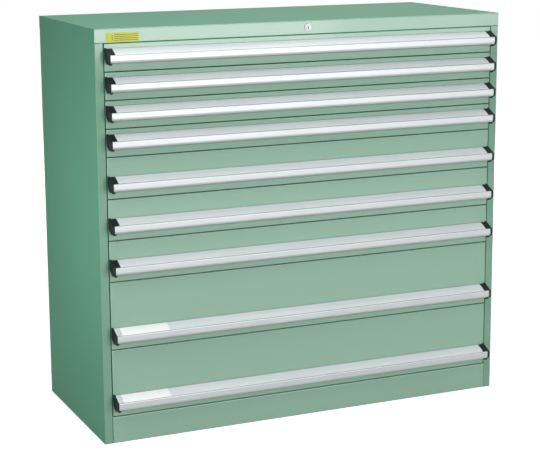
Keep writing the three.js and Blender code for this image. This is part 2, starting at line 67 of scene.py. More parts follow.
# Sizes shared with the source of the solids
SEAT = 0.0003
FRONT_SEAM = 0.0025
SHEET = 0.0016
FRONT_EDGE_RADIUS = 0.002
FRONT_RETURN = 0.0345
TRAY_HALF = 0.598
TRAY_SHEET = 0.0012
TRAY_FLOOR_GAP = 0.008
HANDLE_RISE = 0.066
HANDLE_SHEET = 0.0024
MOUNT_FLANGE = 0.024
NOSE_REACH = 0.0367
NOSE_TOP_RISE = 0.0486
NOSE_FOOT_RISE = 0.027
LIP_REACH = 0.021
LIP_RISE = 0.024
LABEL_LIP = 0.003
LABEL_DEPTH = 0.001
CAP_RIM = 0.001
CAP_FOOT_DROP = 0.006
LOCK_PLUG_RADIUS = 0.006
LOCK_CHAMFER = 0.0008
REAR_FLANGE = 0.02

# Forms of the handles and their caps that are finer than in the solids
LABEL_WIDTH = 0.0345
NOSE_TOP_RADIUS = 0.003
NOSE_FOOT_RADIUS = 0.0095
CAP_THICKNESS = 0.006
CAP_TAB = 0.0215
CAP_TOE = 0.012
CAP_TOE_DROP = 0.0045
CAP_TOE_REACH = 0.0335

# The lock's rosette, and the plug's face with its keyhole
LOCK_PROUD = 0.0003
LOCK_DISH = 0.0005
COLLAR_SHARE = 0.82
PLUG_PROUD = 0.0004
PLUG_THICKNESS = 0.0012
KEYHOLE_WIDTH = 0.003
KEYHOLE_HEIGHT = 0.007
KEYHOLE_DROP = 0.0012

# The film in each label channel, and the white cards on it
STRIP_THICKNESS = 0.0006
STRIP_BOW = 0.0012
STRIP_STEPS = 12
CARD_THICKNESS = 0.0001
CARD_LENGTH = 0.145
CARD_DRAWERS = (8, 9)

# The yellow plate and its ruled lines
PLATE_LEFT = -0.617
PLATE_RIGHT = -0.5195
PLATE_LOW = 1.1615
PLATE_HIGH = 1.1885
PLATE_THICKNESS = 0.0003
PLATE_CORNER = 0.0015
RULE_THICKNESS = 0.0001
RULE_WIDTH = 0.0014
RULE_MARGIN = 0.005
RULE_COLUMN = 0.018
RULE_ROWS = 4

# Slotted strips for dividers, inside the front and rear walls of each tray
DIVIDER_STRIP_THICKNESS = 0.0008
DIVIDER_STRIP_GAP = 0.003
DIVIDER_STRIP_RAIL = 0.006
DIVIDER_SLOTS = 48
DIVIDER_SLOT_WIDTH = 0.003

# Rivets of the back panel, and the rings of a head as shares of its radius and height
RIVET_INSET = 0.012
RIVET_COLUMNS = 6
RIVET_ROWS = 5
RIVET_SIDES = 20
RIVET_RADIUS = 0.0042
RIVET_HEIGHT = 0.0014
DOME_SHARES = ((1, 0), (1, 0.25), (0.86, 0.62), (0.6, 0.9), (0.36, 1), (0.3, 0.8))

# Facets and rounded edges
NOSE_STEPS = 14
LOCK_SIDES = 64
CORNER_STEPS = 6
SMOOTH_ANGLE = math.radians(32)
METAL_ROUNDING = 0.00035
PLASTIC_ROUNDING = 0.0006
ROUNDING_STEPS = 2
ROUND_PROFILE = 0.5

# Camera of the photograph
CAMERA_PLACE = (-1.9445, -4.3436, 1.5592)
CAMERA_YAW = math.radians(24.011)
CAMERA_PITCH = math.radians(-11.258)
CAMERA_ROLL = math.radians(-0.299)
CAMERA_LENS_MM = 103.19
CAMERA_SENSOR_MM = 36
CAMERA_SHIFT_Y = -0.0407

# Tones of the paint, which go by the piece and by whether a face looks to the front or up: the lighter
# tones of the drawers, the cover's front and the upward faces are painted light, the darker tone of
# the casing's posts painted shade
CASING_GREEN = (0.130, 0.372, 0.248)
FRONT_LIT_GREEN = (0.238, 0.400, 0.304)
POST_SHADED_GREEN = (0.150, 0.310, 0.220)
TOP_LIT_GREEN = (0.195, 0.415, 0.294)
WORN_GREEN = (0.40, 0.60, 0.49)
FRONTWARD = (0, -1, 0)
UPWARD = (0, 0, 1)

# The paint's gloss, and the shares of its drift of tone, its specks, its scuffs and its worn edges
PAINT_ROUGHNESS = (0.50, 0.58)
PAINT_SPECULAR = 0.03
COAT_ROUGHNESS = 0.09
DUSTY_ROUGHNESS = 0.95
DRIFT_SHARE = 0.025
SPECK_SHARE = 0.2
SCUFF_SHARE = 0.2
WORN_SHARE = 0.5

# The other materials: a darker and a lighter tone of each, and the tone of its rubbed edges
ALUMINIUM_TONES = ((0.38, 0.405, 0.41), (0.455, 0.475, 0.48))
ALUMINIUM_CLOUD = (0.36, 0.39, 0.40)
ALUMINIUM_RUBBED = (0.62, 0.63, 0.63)
BLACK_TONES = ((0.004, 0.009, 0.008), (0.010, 0.016, 0.014))
BLACK_RUBBED = (0.045, 0.06, 0.055)
# Grey tones that paint a reflection of light on the black tabs of the card drawers
REFLECTION_GREY_TONES = ((0.60, 0.64, 0.65), (0.68, 0.72, 0.73))
REFLECTION_GREY_RUBBED = (0.34, 0.38, 0.38)
ZINC_TONES = ((0.46, 0.47, 0.48), (0.57, 0.58, 0.585))
ZINC_DULL = (0.40, 0.405, 0.405)
ZINC_RUBBED = (0.70, 0.70, 0.70)
CHROME_TONES = ((0.29, 0.30, 0.305), (0.35, 0.36, 0.365))
CHROME_RUBBED = (0.60, 0.60, 0.60)
FILM_TONES = ((0.72, 0.755, 0.78), (0.77, 0.80, 0.82))
CARD_TONES = ((0.92, 0.93, 0.94), (0.97, 0.975, 0.98))
YELLOW_TONES = ((0.45, 0.475, 0.045), (0.52, 0.53, 0.065))
INK_TONES = ((0.02, 0.035, 0.02), (0.045, 0.065, 0.035))

# How far from an edge a material is rubbed, and how high its bumps are
PAINT_RUB = 0.0014
ZINC_RUB = 0.0008
ALUMINIUM_RUB = 0.0005
PLASTIC_RUB = 0.0005
CHROME_RUB = 0.0004
PAINT_BUMP = 0.0004
PLASTIC_BUMP = 0.0003
METAL_BUMP = 0.0002
FILM_BUMP = 0.0002
FINE_BUMP = 0.0001

# Scales along x, y and z of the noises that are drawn out into lines, and of the zinc's crystals
SCUFF_SCALES = (7, 7, 190)
BRUSH_SCALES = (3, 2400, 2400)
WIPE_SCALES = (40, 300, 900)
WAVE_SCALES = (5, 90, 90)
SCRATCH_SCALES = (12, 1500, 1500)
CRYSTAL_SCALE = 160

# Spans that a value is read over: noises, and cosines to a direction or across an edge
WHOLE_SPAN = (0, 1)
WIDE_SPAN = (0.3, 0.7)
NARROW_SPAN = (0.35, 0.65)
SPECK_SPAN = (0.62, 0.74)
SCUFF_SPAN = (0.70, 0.82)
DULL_SPAN = (0.45, 0.7)
FACING_SPAN = (0.6, 0.95)
METAL_EDGE_SPAN = (0.86, 0.99)
PLASTIC_EDGE_SPAN = (0.84, 0.99)

# Samples of a rounded normal, and the sockets of a colour mix, which share their names with others
ROUNDED_SAMPLES = 4
MIX_FACTOR = 0
MIX_FIRST = 6
MIX_SECOND = 7
MIX_RESULT = 2

# Light on everything, and the floor with how white the camera sees it near the object and far away
WHITE = (1, 1, 1, 1)
AMBIENT = 0.08
FLOOR_REACH = 30
FLOOR_COLOUR = (0.62, 0.62, 0.62)
FLOOR_ROUGHNESS = 0.9
FLOOR_NEAR = 1.0
FLOOR_FAR = 4.0
FLOOR_LIFT_NEAR = 0.72
FLOOR_LIFT_FAR = 0.95

# Lamps: name, place, the point that it faces, width and height, and strength in watts
LAMPS = (
    ("key", (0.25, -4.3, 1.44), (0.25, 0, 1.44), (3.7, 1.5), 111),
    ("key_wing", (2.7, -4.3, 1.44), (2.7, 0, 1.44), (1.2, 1.5), 23),
    ("canopy", (-1.4, -1.9, 3.1), (-0.3, -0.3, 0.6), (2.0, 1.2), 35),
    ("fill", (-1.45, -0.3, 0.68), (-0.65, -0.15, 0.68), (0.6, 0.5), 3.4),
    ("overhead", (0, 0.1, 3.5), (0, 0, 1.2), (2.4, 1.8), 25),
    ("rear", (2.8, 4.0, 1.9), (0.3, 0.2, 0.6), (2.4, 1.8), 150),
)


# Materials
class Nodes:
    """A material with its shader, and short ways to add and link nodes."""

    SOCKETS = {
        "colour": "Base Color",
        "rough": "Roughness",
        "metal": "Metallic",
        "specular": "Specular IOR Level",
        "coat": "Coat Weight",
        "coat_rough": "Coat Roughness",
    }

    def __init__(self, name):
        self.material = bpy.data.materials.new(name)
        self.material.use_nodes = True
        self.tree = self.material.node_tree
        self.shader = self.tree.nodes["Principled BSDF"]
        self.place = self.add("ShaderNodeTexCoord").outputs["Object"]

    def add(self, kind, **settings):
        node = self.tree.nodes.new(kind)
        for key, value in settings.items():
            setattr(node, key, value)
        return node

    def link(self, source, target):
        self.tree.links.new(source, target)

    def stretched(self, scale):
        """The object's coordinates, multiplied by a scale along each axis."""
        node = self.add("ShaderNodeMapping")
        node.inputs["Scale"].default_value = scale
        self.link(self.place, node.inputs["Vector"])
        return node.outputs["Vector"]

    def noise(self, scale, detail=3, roughness=0.5, place=None):
        node = self.add("ShaderNodeTexNoise")
        node.inputs["Scale"].default_value = scale
        node.inputs["Detail"].default_value = detail
        node.inputs["Roughness"].default_value = roughness
        self.link(place or self.place, node.inputs["Vector"])
        return node.outputs["Fac"]

    def ranged(self, value, span, low, high):
        """A value that goes from low to high while another goes over a span."""
        node = self.add("ShaderNodeMapRange")
        node.inputs["From Min"].default_value = span[0]
        node.inputs["From Max"].default_value = span[1]
        node.inputs["To Min"].default_value = low
        node.inputs["To Max"].default_value = high
        self.link(value, node.inputs["Value"])
        return node.outputs["Result"]

    def highest(self, first, second):
        node = self.add("ShaderNodeMath", operation="MAXIMUM")
        self.link(first, node.inputs[0])
        self.link(second, node.inputs[1])
        return node.outputs["Value"]

    def facing(self, direction, most=1):
        """A value that rises to its most with how far the surface faces in a direction."""
        dot = self.add("ShaderNodeVectorMath", operation="DOT_PRODUCT")
        self.link(self.add("ShaderNodeNewGeometry").outputs["True Normal"], dot.inputs[0])
        dot.inputs[1].default_value = direction
        return self.ranged(dot.outputs["Value"], FACING_SPAN, 0, most)

    def mixed(self, factor, first, second):
        """Two colours, each linked or plain, mixed by a factor."""
        node = self.add("ShaderNodeMix", data_type="RGBA")
        self.link(factor, node.inputs[MIX_FACTOR])
        for index, colour in ((MIX_FIRST, first), (MIX_SECOND, second)):
            if isinstance(colour, bpy.types.NodeSocket):
                self.link(colour, node.inputs[index])
            else:
                node.inputs[index].default_value = (*colour, 1)
        return node.outputs[MIX_RESULT]

    def blended(self, first, second, value, span, most=1):
        """A colour that turns into a second, at most by a share, while a value goes over a span."""
        return self.mixed(self.ranged(value, span, 0, most), first, second)

    def edges(self, reach, span):
        """1 near convex and concave edges and 0 elsewhere, and the rounded normal that shows it."""
        rounded = self.add("ShaderNodeBevel", samples=ROUNDED_SAMPLES)
        rounded.inputs["Radius"].default_value = reach
        true = self.add("ShaderNodeNewGeometry")
        dot = self.add("ShaderNodeVectorMath", operation="DOT_PRODUCT")
        self.link(rounded.outputs["Normal"], dot.inputs[0])
        self.link(true.outputs["True Normal"], dot.inputs[1])
        return self.ranged(dot.outputs["Value"], span[::-1], 0, 1), rounded.outputs["Normal"]

    def bump(self, height, strength, distance, normal=None):
        node = self.add("ShaderNodeBump")
        node.inputs["Strength"].default_value = strength
        node.inputs["Distance"].default_value = distance
        self.link(height, node.inputs["Height"])
        if normal:
            self.link(normal, node.inputs["Normal"])
        self.link(node.outputs["Normal"], self.shader.inputs["Normal"])

    def set(self, **values):
        """Sets or links the shader's sockets, and gives the finished material."""
        for key, value in values.items():
            socket = self.shader.inputs[self.SOCKETS[key]]
            if isinstance(value, bpy.types.NodeSocket):
                self.link(value, socket)
            elif key == "colour":
                socket.default_value = (*value, 1)
            else:
                socket.default_value = value
        return self.material


def powder_coat(name, green, front_shading_green):
    """Orange peel, drifting tone, paler worn edges, a glossier front and a dusty top. Front-facing
    faces take the tone given for them, lighter on the drawers and the cover, darker on the casing's
    posts, and upward faces a lighter tone: painted light and shade.
    """
    paint = Nodes(name)
    edge, rounded = paint.edges(PAINT_RUB, METAL_EDGE_SPAN)
    tones = [[channel * (1 + side * DRIFT_SHARE) for channel in green] for side in (-1, 1)]
    drift = paint.blended(*tones, paint.noise(scale=2.3, detail=4), NARROW_SPAN)
    # Painted light and shade: front-facing faces take their own tone, upward faces a lighter one
    front = paint.facing(FRONTWARD)
    front_shading = paint.mixed(front, drift, front_shading_green)
    body = paint.mixed(paint.facing(UPWARD), front_shading, TOP_LIT_GREEN)
    specks = paint.noise(scale=1900, detail=1)
    flecked = paint.blended(body, WORN_GREEN, specks, SPECK_SPAN, SPECK_SHARE)
    marks = paint.noise(scale=1, detail=5, roughness=0.7, place=paint.stretched(SCUFF_SCALES))
    scuffed = paint.blended(flecked, WORN_GREEN, marks, SCUFF_SPAN, SCUFF_SHARE)
    worn = paint.blended(scuffed, WORN_GREEN, edge, WHOLE_SPAN, WORN_SHARE)
    peel = paint.noise(scale=620, detail=2, roughness=0.55)
    paint.bump(peel, strength=0.05, distance=PAINT_BUMP, normal=rounded)
    rubbed = paint.ranged(paint.noise(scale=9, detail=5, roughness=0.6), WIDE_SPAN, *PAINT_ROUGHNESS)
    dusty = paint.facing(UPWARD, DUSTY_ROUGHNESS)
    return paint.set(
        colour=worn, rough=paint.highest(rubbed, dusty), specular=PAINT_SPECULAR,
        coat=front, coat_rough=COAT_ROUGHNESS,
    )


def anodised_aluminium():
    """Natural anodised extrusion: fine lines along its length and a satin sheen."""
    metal = Nodes("anodised_aluminium")
    edge, rounded = metal.edges(ALUMINIUM_RUB, METAL_EDGE_SPAN)
    lines = metal.noise(scale=1, roughness=0.6, place=metal.stretched(BRUSH_SCALES))
    body = metal.blended(*ALUMINIUM_TONES, lines, WIDE_SPAN)
    clouded = metal.blended(body, ALUMINIUM_CLOUD, metal.noise(scale=7), NARROW_SPAN, most=0.3)
    rubbed = metal.blended(clouded, ALUMINIUM_RUBBED, edge, WHOLE_SPAN, most=0.4)
    metal.bump(lines, strength=0.12, distance=METAL_BUMP, normal=rounded)
    rough = metal.ranged(lines, WIDE_SPAN, low=0.36, high=0.46)
    return metal.set(colour=rubbed, metal=0.75, rough=rough)


def black_plastic():
    """Moulded black plastic with a fine spark-eroded grain and rubbed edges."""
    plastic = Nodes("black_plastic")
    edge, rounded = plastic.edges(PLASTIC_RUB, PLASTIC_EDGE_SPAN)
    grain = plastic.noise(scale=2600, detail=2, roughness=0.6)
    body = plastic.blended(*BLACK_TONES, plastic.noise(scale=60), WIDE_SPAN)
    rubbed = plastic.blended(body, BLACK_RUBBED, edge, WHOLE_SPAN, most=0.3)
    plastic.bump(grain, strength=0.18, distance=PLASTIC_BUMP, normal=rounded)
    rough = plastic.ranged(grain, WIDE_SPAN, low=0.42, high=0.55)
    return plastic.set(colour=rubbed, rough=rough, specular=0.2)


def reflection_grey_plastic():
    """A paler grey for the tab of a label holder, standing in for light reflected by the black tab: a
    painted reflection.
    """
    plastic = Nodes("reflection_grey_plastic")
    edge, rounded = plastic.edges(PLASTIC_RUB, PLASTIC_EDGE_SPAN)
    grain = plastic.noise(scale=2200, detail=2, roughness=0.6)
    body = plastic.blended(*REFLECTION_GREY_TONES, plastic.noise(scale=60), WIDE_SPAN)
    rubbed = plastic.blended(body, REFLECTION_GREY_RUBBED, edge, WHOLE_SPAN, most=0.5)
    plastic.bump(grain, strength=0.14, distance=PLASTIC_BUMP, normal=rounded)
    return plastic.set(colour=rubbed, rough=plastic.ranged(grain, WIDE_SPAN, low=0.36, high=0.48))


def zinc_steel():
    """Zinc plated sheet with faint crystals and dull patches."""
    zinc = Nodes("zinc_steel")
    edge, rounded = zinc.edges(ZINC_RUB, METAL_EDGE_SPAN)
    cells = zinc.add("ShaderNodeTexVoronoi")
    cells.inputs["Scale"].default_value = CRYSTAL_SCALE
    zinc.link(zinc.place, cells.inputs["Vector"])
    crystals = cells.outputs["Color"]
    body = zinc.blended(*ZINC_TONES, crystals, WHOLE_SPAN)
    dull = zinc.blended(body, ZINC_DULL, zinc.noise(scale=14, detail=4), DULL_SPAN, most=0.5)
    rubbed = zinc.blended(dull, ZINC_RUBBED, edge, WHOLE_SPAN, most=0.4)
    zinc.bump(zinc.noise(scale=900, detail=2), strength=0.1, distance=METAL_BUMP, normal=rounded)
    rough = zinc.ranged(crystals, WHOLE_SPAN, low=0.34, high=0.5)
    return zinc.set(colour=rubbed, metal=0.9, rough=rough)


def chrome():
    """Satin nickel chrome with a few wiping marks."""
    metal = Nodes("chrome")
    edge, rounded = metal.edges(CHROME_RUB, METAL_EDGE_SPAN)
    wiped = metal.noise(scale=1, roughness=0.6, place=metal.stretched(WIPE_SCALES))
    body = metal.blended(*CHROME_TONES, wiped, WIDE_SPAN)
    rubbed = metal.blended(body, CHROME_RUBBED, edge, WHOLE_SPAN, most=0.4)
    metal.bump(wiped, strength=0.05, distance=FINE_BUMP, normal=rounded)
    rough = metal.ranged(wiped, WIDE_SPAN, low=0.36, high=0.44)
    return metal.set(colour=rubbed, metal=1, rough=rough)


def label_film():
    """The clear strip over an empty label channel: pale, slightly blue, smooth."""
    film = Nodes("label_film")
    wave = film.noise(scale=1, place=film.stretched(WAVE_SCALES))
    scratch = film.noise(scale=1, detail=2, roughness=0.7, place=film.stretched(SCRATCH_SCALES))
    body = film.blended(*FILM_TONES, wave, NARROW_SPAN)
    film.bump(scratch, strength=0.08, distance=FILM_BUMP)
    rough = film.ranged(scratch, WIDE_SPAN, low=0.26, high=0.36)
    return film.set(colour=body, rough=rough, specular=0.5)


def white_card():
    """An empty white card."""
    card = Nodes("white_card")
    fibre = card.noise(scale=1500, detail=4, roughness=0.6)
    body = card.blended(*CARD_TONES, fibre, WIDE_SPAN)
    card.bump(fibre, strength=0.1, distance=FINE_BUMP)
    return card.set(colour=body, rough=card.ranged(fibre, WIDE_SPAN, low=0.55, high=0.75))


def yellow_film():
    """The yellow plate's ground."""
    film = Nodes("yellow_film")
    fade = film.noise(scale=30)
    body = film.blended(*YELLOW_TONES, fade, NARROW_SPAN)
    film.bump(film.noise(scale=1200, detail=2), strength=0.06, distance=FINE_BUMP)
    rough = film.ranged(fade, WIDE_SPAN, low=0.44, high=0.54)
    return film.set(colour=body, rough=rough, specular=0.3)


def dark_print():
    """The ink of the plate's ruled lines."""
    ink = Nodes("dark_print")
    patchy = ink.noise(scale=700)
    body = ink.blended(*INK_TONES, patchy, NARROW_SPAN)
    ink.bump(patchy, strength=0.05, distance=FINE_BUMP)
    return ink.set(colour=body, rough=ink.ranged(patchy, WIDE_SPAN, low=0.4, high=0.55))


# Copies of one green paint with painted light and shade in their tones: darker on the casing's posts,
# lighter on the cover's front, the drawers and every upward face
CASING_PAINT_LIT_AND_SHADED = powder_coat("casing_green_paint_lit_and_shaded", CASING_GREEN, POST_SHADED_GREEN)
COVER_PAINT_LIT = powder_coat("cover_green_paint_lit", CASING_GREEN, FRONT_LIT_GREEN)
FRONT_PAINT_LIT = powder_coat("front_green_paint_lit", FRONT_LIT_GREEN, FRONT_LIT_GREEN)
ALUMINIUM = anodised_aluminium()
BLACK = black_plastic()
REFLECTION_GREY = reflection_grey_plastic()
ZINC = zinc_steel()
CHROME = chrome()
FILM = label_film()
CARD = white_card()
YELLOW = yellow_film()
INK = dark_print()
SLOT_MATERIALS = {
    "green_paint": FRONT_PAINT_LIT,
    "zinc_steel": ZINC,
    "anodised_aluminium": ALUMINIUM,
    "black_plastic": BLACK,
    "chrome": CHROME,
}


def dress_solids():
    """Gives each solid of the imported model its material."""
    for part in frame["record"]["subparts"]:
        material = SLOT_MATERIALS[part["material_slot"]]
        # The casing and the top cover take copies of the paint whose tones hold painted light and
        # shade
        if part["node"] in CASING_NODES:
            material = CASING_PAINT_LIT_AND_SHADED
        if part["node"] == "top_cover":
            material = COVER_PAINT_LIT
        for slot in frame["nodes"][part["node"]].material_slots:
            slot.material = material


# Outlines
def rounded_line(corners, radii, steps):
    """A line through the corners, rounded by each radius, as points with their left-hand normals."""
    places = [Vector(corner) for corner in corners]
    line = []
    for index, corner in enumerate(places):
        before = (corner - places[index - 1]).normalized() if index else None
        after = (places[index + 1] - corner).normalized() if index < len(places) - 1 else None
        if before is None or after is None:
            straight = before or after
            line.append((corner, Vector((-straight.y, straight.x))))
            continue
        left, left_after = Vector((-before.y, before.x)), Vector((-after.y, after.x))
        radius = radii[index - 1]
        if radius == 0:
            line.append((corner, (left + left_after) / (1 + before.dot(after))))
            continue
        turn = math.atan2(before.x * after.y - before.y * after.x, before.dot(after))
        side = math.copysign(1, turn)
        start = corner - before * radius * math.tan(abs(turn) / 2)
        centre = start + left * side * radius
        for step in range(steps + 1):
            normal = Matrix.Rotation(turn * step / steps, 2) @ left
            line.append((centre - normal * side * radius, normal))
    return line


def offset(line, distance):
    """The points of a line, moved along their normals."""
    return [point + normal * distance for point, normal in line]


# The handle's outer line from its lip to its flange: how far out of the front, and how high
HANDLE_CORNERS = [
    (LIP_REACH, LIP_RISE),
    (NOSE_REACH, NOSE_FOOT_RISE),
    (NOSE_REACH, NOSE_TOP_RISE),
    (0, HANDLE_RISE),
    (0, HANDLE_RISE - MOUNT_FLANGE),
]
LABEL_ALONG = Vector((NOSE_REACH, NOSE_TOP_RISE - HANDLE_RISE)).normalized()
LABEL_OUT = Vector((-LABEL_ALONG.y, LABEL_ALONG.x))


def on_label(along, over):
    """A point of the sloping label face: how far down it, and how far above it."""
    return Vector((0, HANDLE_RISE)) + LABEL_ALONG * along + LABEL_OUT * over


def tab_outline():
    """The section of a cap's tab, which fills the label channel."""
    start, end = LABEL_LIP + SEAT, LABEL_LIP + LABEL_WIDTH - SEAT
    low, high = SEAT - LABEL_DEPTH, CAP_RIM
    return [on_label(start, low), on_label(end, low), on_label(end, high), on_label(start, high)]


def film_outline(bottom, top):
    """The section of the film or a card, which bows outwards between the lips of its channel."""
    start, end = LABEL_LIP + SEAT, LABEL_LIP + LABEL_WIDTH - SEAT
    bowed = []
    for step in range(STRIP_STEPS + 1):
        share = step / STRIP_STEPS
        rise = STRIP_BOW * math.sin(math.pi * share)
        bowed.append(on_label(end + (start - end) * share, top + rise))
    return [on_label(start, bottom), on_label(end, bottom)] + bowed


def handle_outline():
    """The hooked extrusion, with its label channel."""
    line = rounded_line(HANDLE_CORNERS, [NOSE_FOOT_RADIUS, NOSE_TOP_RADIUS, 0], NOSE_STEPS)
    outer = offset(line, 0)
    channel = [
        on_label(LABEL_LIP + LABEL_WIDTH, 0),
        on_label(LABEL_LIP + LABEL_WIDTH, -LABEL_DEPTH),
        on_label(LABEL_LIP, -LABEL_DEPTH),
        on_label(LABEL_LIP, 0),
    ]
    return outer[:-2] + channel + outer[-2:] + offset(line, HANDLE_SHEET)[::-1]


def cap_outline():
    """The end cap's plate: the handle's outer line with a small rim, closed along the front."""
    line = rounded_line(HANDLE_CORNERS[:-1], [NOSE_FOOT_RADIUS, NOSE_TOP_RADIUS], NOSE_STEPS)
    rim = offset(line, -CAP_RIM)
    foot = HANDLE_RISE - MOUNT_FLANGE - CAP_FOOT_DROP
    return rim + [Vector((0, rim[-1].y)), Vector((0, foot))]


def toe_outline():
    """The cap's toe, which wraps the foot of the nose from below."""
    slope = (NOSE_FOOT_RISE - LIP_RISE) / (NOSE_REACH - LIP_REACH)
    rise = LIP_RISE + slope * (CAP_TOE_REACH - LIP_REACH)
    return [
        Vector((LIP_REACH, LIP_RISE)),
        Vector((LIP_REACH, LIP_RISE - CAP_TOE_DROP)),
        Vector((CAP_TOE_REACH, rise - CAP_TOE_DROP)),
        Vector((CAP_TOE_REACH, rise)),
    ]


def circle(x, z, radius, sides):
    angles = [2 * math.pi * side / sides for side in range(sides)]
    return [(x + radius * math.cos(angle), z + radius * math.sin(angle)) for angle in angles]


def rectangle(x1, z1, x2, z2):
    return [(x1, z1), (x2, z1), (x2, z2), (x1, z2)]


def rounded_rectangle(x1, z1, x2, z2, radius):
    outline = []
    corners = ((x2, z2, -1, -1), (x1, z2, 1, -1), (x1, z1, 1, 1), (x2, z1, -1, 1))
    for quarter, (x, z, inward, upward) in enumerate(corners):
        for step in range(CORNER_STEPS + 1):
            angle = math.pi / 2 * (quarter + step / CORNER_STEPS)
            outline.append((
                x + radius * (inward + math.cos(angle)),
                z + radius * (upward + math.sin(angle)),
            ))
    return outline


# Meshes
def make_piece(name, work, material, body, rounding=0, replaced=()):
    """Makes a piece from a mesh in work, with rounded edges if asked, that rides on a body."""
    bmesh.ops.recalc_face_normals(work, faces=work.faces)
    mesh = bpy.data.meshes.new(name)
    work.to_mesh(mesh)
    work.free()
    mesh.shade_smooth()
    mesh.set_sharp_from_angle(angle=SMOOTH_ANGLE)
    mesh.materials.append(material)
    piece = bpy.data.objects.new(name, mesh)
    bpy.context.scene.collection.objects.link(piece)
    if rounding:
        bevel = piece.modifiers.new("rounding", "BEVEL")
        bevel.width = rounding
        bevel.segments = ROUNDING_STEPS
        bevel.limit_method = "ANGLE"
        bevel.angle_limit = SMOOTH_ANGLE
    flatness = piece.modifiers.new("flatness", "WEIGHTED_NORMAL")
    flatness.keep_sharp = True
    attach(piece, body)
    if replaced:
        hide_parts(*replaced)


def add_section(work, outline, x1, x2):
    """Adds a closed bar along x to a mesh: an outline of y and z between two places."""
    rings = [[work.verts.new((x, point.x, point.y)) for point in outline] for x in (x1, x2)]
    work.faces.new(rings[0])
    work.faces.new(rings[1][::-1])
    bridge(work, *rings)


def bridge(work, near, far):
    """Adds the faces between two rings of a mesh."""
    for index in range(len(near)):
        following = (index + 1) % len(near)
        work.faces.new((near[index], near[following], far[following], far[index]))


def thicken(work, faces, y_far):
    """Gives upright faces of a mesh a thickness, which ends at a place along y."""
    for item in bmesh.ops.extrude_face_region(work, geom=faces, use_keep_orig=True)["geom"]:
        if isinstance(item, bmesh.types.BMVert):
            item.co.y = y_far


def add_plate(work, outlines, y_face, y_back):
    """Adds an upright plate to a mesh: an outer outline of x and z, and any holes in it."""
    edges = []
    for outline in outlines:
        verts = [work.verts.new((x, y_face, z)) for x, z in outline]
        edges += [work.edges.new((vert, verts[index - 1])) for index, vert in enumerate(verts)]
    filled = bmesh.ops.triangle_fill(work, use_beauty=True, use_dissolve=False, edges=edges)["geom"]
    thicken(work, [item for item in filled if isinstance(item, bmesh.types.BMFace)], y_back)


def on_front(outline, low):
    """Outwards and upwards from the drawer's lower seam, turned into y and z."""
    return [Vector((FRONT_Y - SEAT - point.x, low + point.y)) for point in outline]


def drawer_low(number):
    """The seam under a drawer."""
    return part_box(f"drawer_{number}_front")[0].z - FRONT_SEAM / 2


def make_front(number):
    """A pan with rounded front edges, open at the back where the tray's wall closes it."""
    name = f"drawer_{number}_front"
    low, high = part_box(name)
    work = bmesh.new()
    corners = [
        work.verts.new((x, y, z))
        for y in (low.y, high.y) for z in (low.z, high.z) for x in (low.x, high.x)
    ]
    front = work.faces.new([corners[index] for index in (0, 1, 3, 2)])
    for face in ((4, 5, 1, 0), (5, 7, 3, 1), (7, 6, 2, 3), (6, 4, 0, 2)):
        work.faces.new([corners[index] for index in face])
    back = work.faces.new([corners[index] for index in (4, 6, 7, 5)])
    bmesh.ops.recalc_face_normals(work, faces=work.faces)
    bmesh.ops.bevel(
        work, geom=list(front.edges), offset=FRONT_EDGE_RADIUS, segments=CORNER_STEPS,
        profile=ROUND_PROFILE, affect="EDGES", clamp_overlap=True,
    )
    bmesh.ops.inset_region(work, faces=[back], thickness=FRONT_RETURN, depth=0)
    pushed = bmesh.ops.extrude_discrete_faces(work, faces=[back])["faces"][0]
    for vert in pushed.verts:
        vert.co.y = low.y + SHEET
    make_piece(f"{name}_pan", work, FRONT_PAINT_LIT, f"drawer_{number}", replaced=[name])


def make_handle(number):
    work = bmesh.new()
    half = FRONT_HALF - CAP_THICKNESS - SEAT
    add_section(work, on_front(handle_outline(), drawer_low(number)), -half, half)
    name = f"drawer_{number}_handle"
    make_piece(
        f"{name}_extrusion", work, ALUMINIUM, f"drawer_{number}",
        METAL_ROUNDING, [name],
    )


def make_cap(number, side):
    """A moulded plate with a toe under the nose, and a tab that closes the label channel."""
    body = f"drawer_{number}"
    name = f"{body}_{'left' if side < 0 else 'right'}_cap"
    low = drawer_low(number)
    inner = FRONT_HALF - CAP_THICKNESS
    work = bmesh.new()
    add_section(work, on_front(cap_outline(), low), side * inner, side * FRONT_HALF)
    add_section(work, on_front(toe_outline(), low), side * (FRONT_HALF - CAP_TOE), side * inner)
    make_piece(f"{name}_plate", work, BLACK, body, PLASTIC_ROUNDING, [name])
    work = bmesh.new()
    add_section(work, on_front(tab_outline(), low), side * (FRONT_HALF - CAP_TAB), side * inner)
    # The left tabs of the card drawers are a paler grey: a painted reflection
    plastic = REFLECTION_GREY if side < 0 and number in CARD_DRAWERS else BLACK
    make_piece(f"{name}_tab", work, plastic, body, PLASTIC_ROUNDING)


def make_label_strip(number):
    """The film in the label channel, with a card at its left end on the drawers that have one."""
    body = f"drawer_{number}"
    low = drawer_low(number)
    end = FRONT_HALF - CAP_TAB - SEAT
    bottom = CARD_THICKNESS - LABEL_DEPTH
    top = bottom + STRIP_THICKNESS
    work = bmesh.new()
    add_section(work, on_front(film_outline(bottom, top), low), -end, end)
    make_piece(f"{body}_label_strip", work, FILM, body)
    if number in CARD_DRAWERS:
        work = bmesh.new()
        card = film_outline(top, top + CARD_THICKNESS)
        add_section(work, on_front(card, low), -end, CARD_LENGTH - end)
        make_piece(f"{body}_card", work, CARD, body)


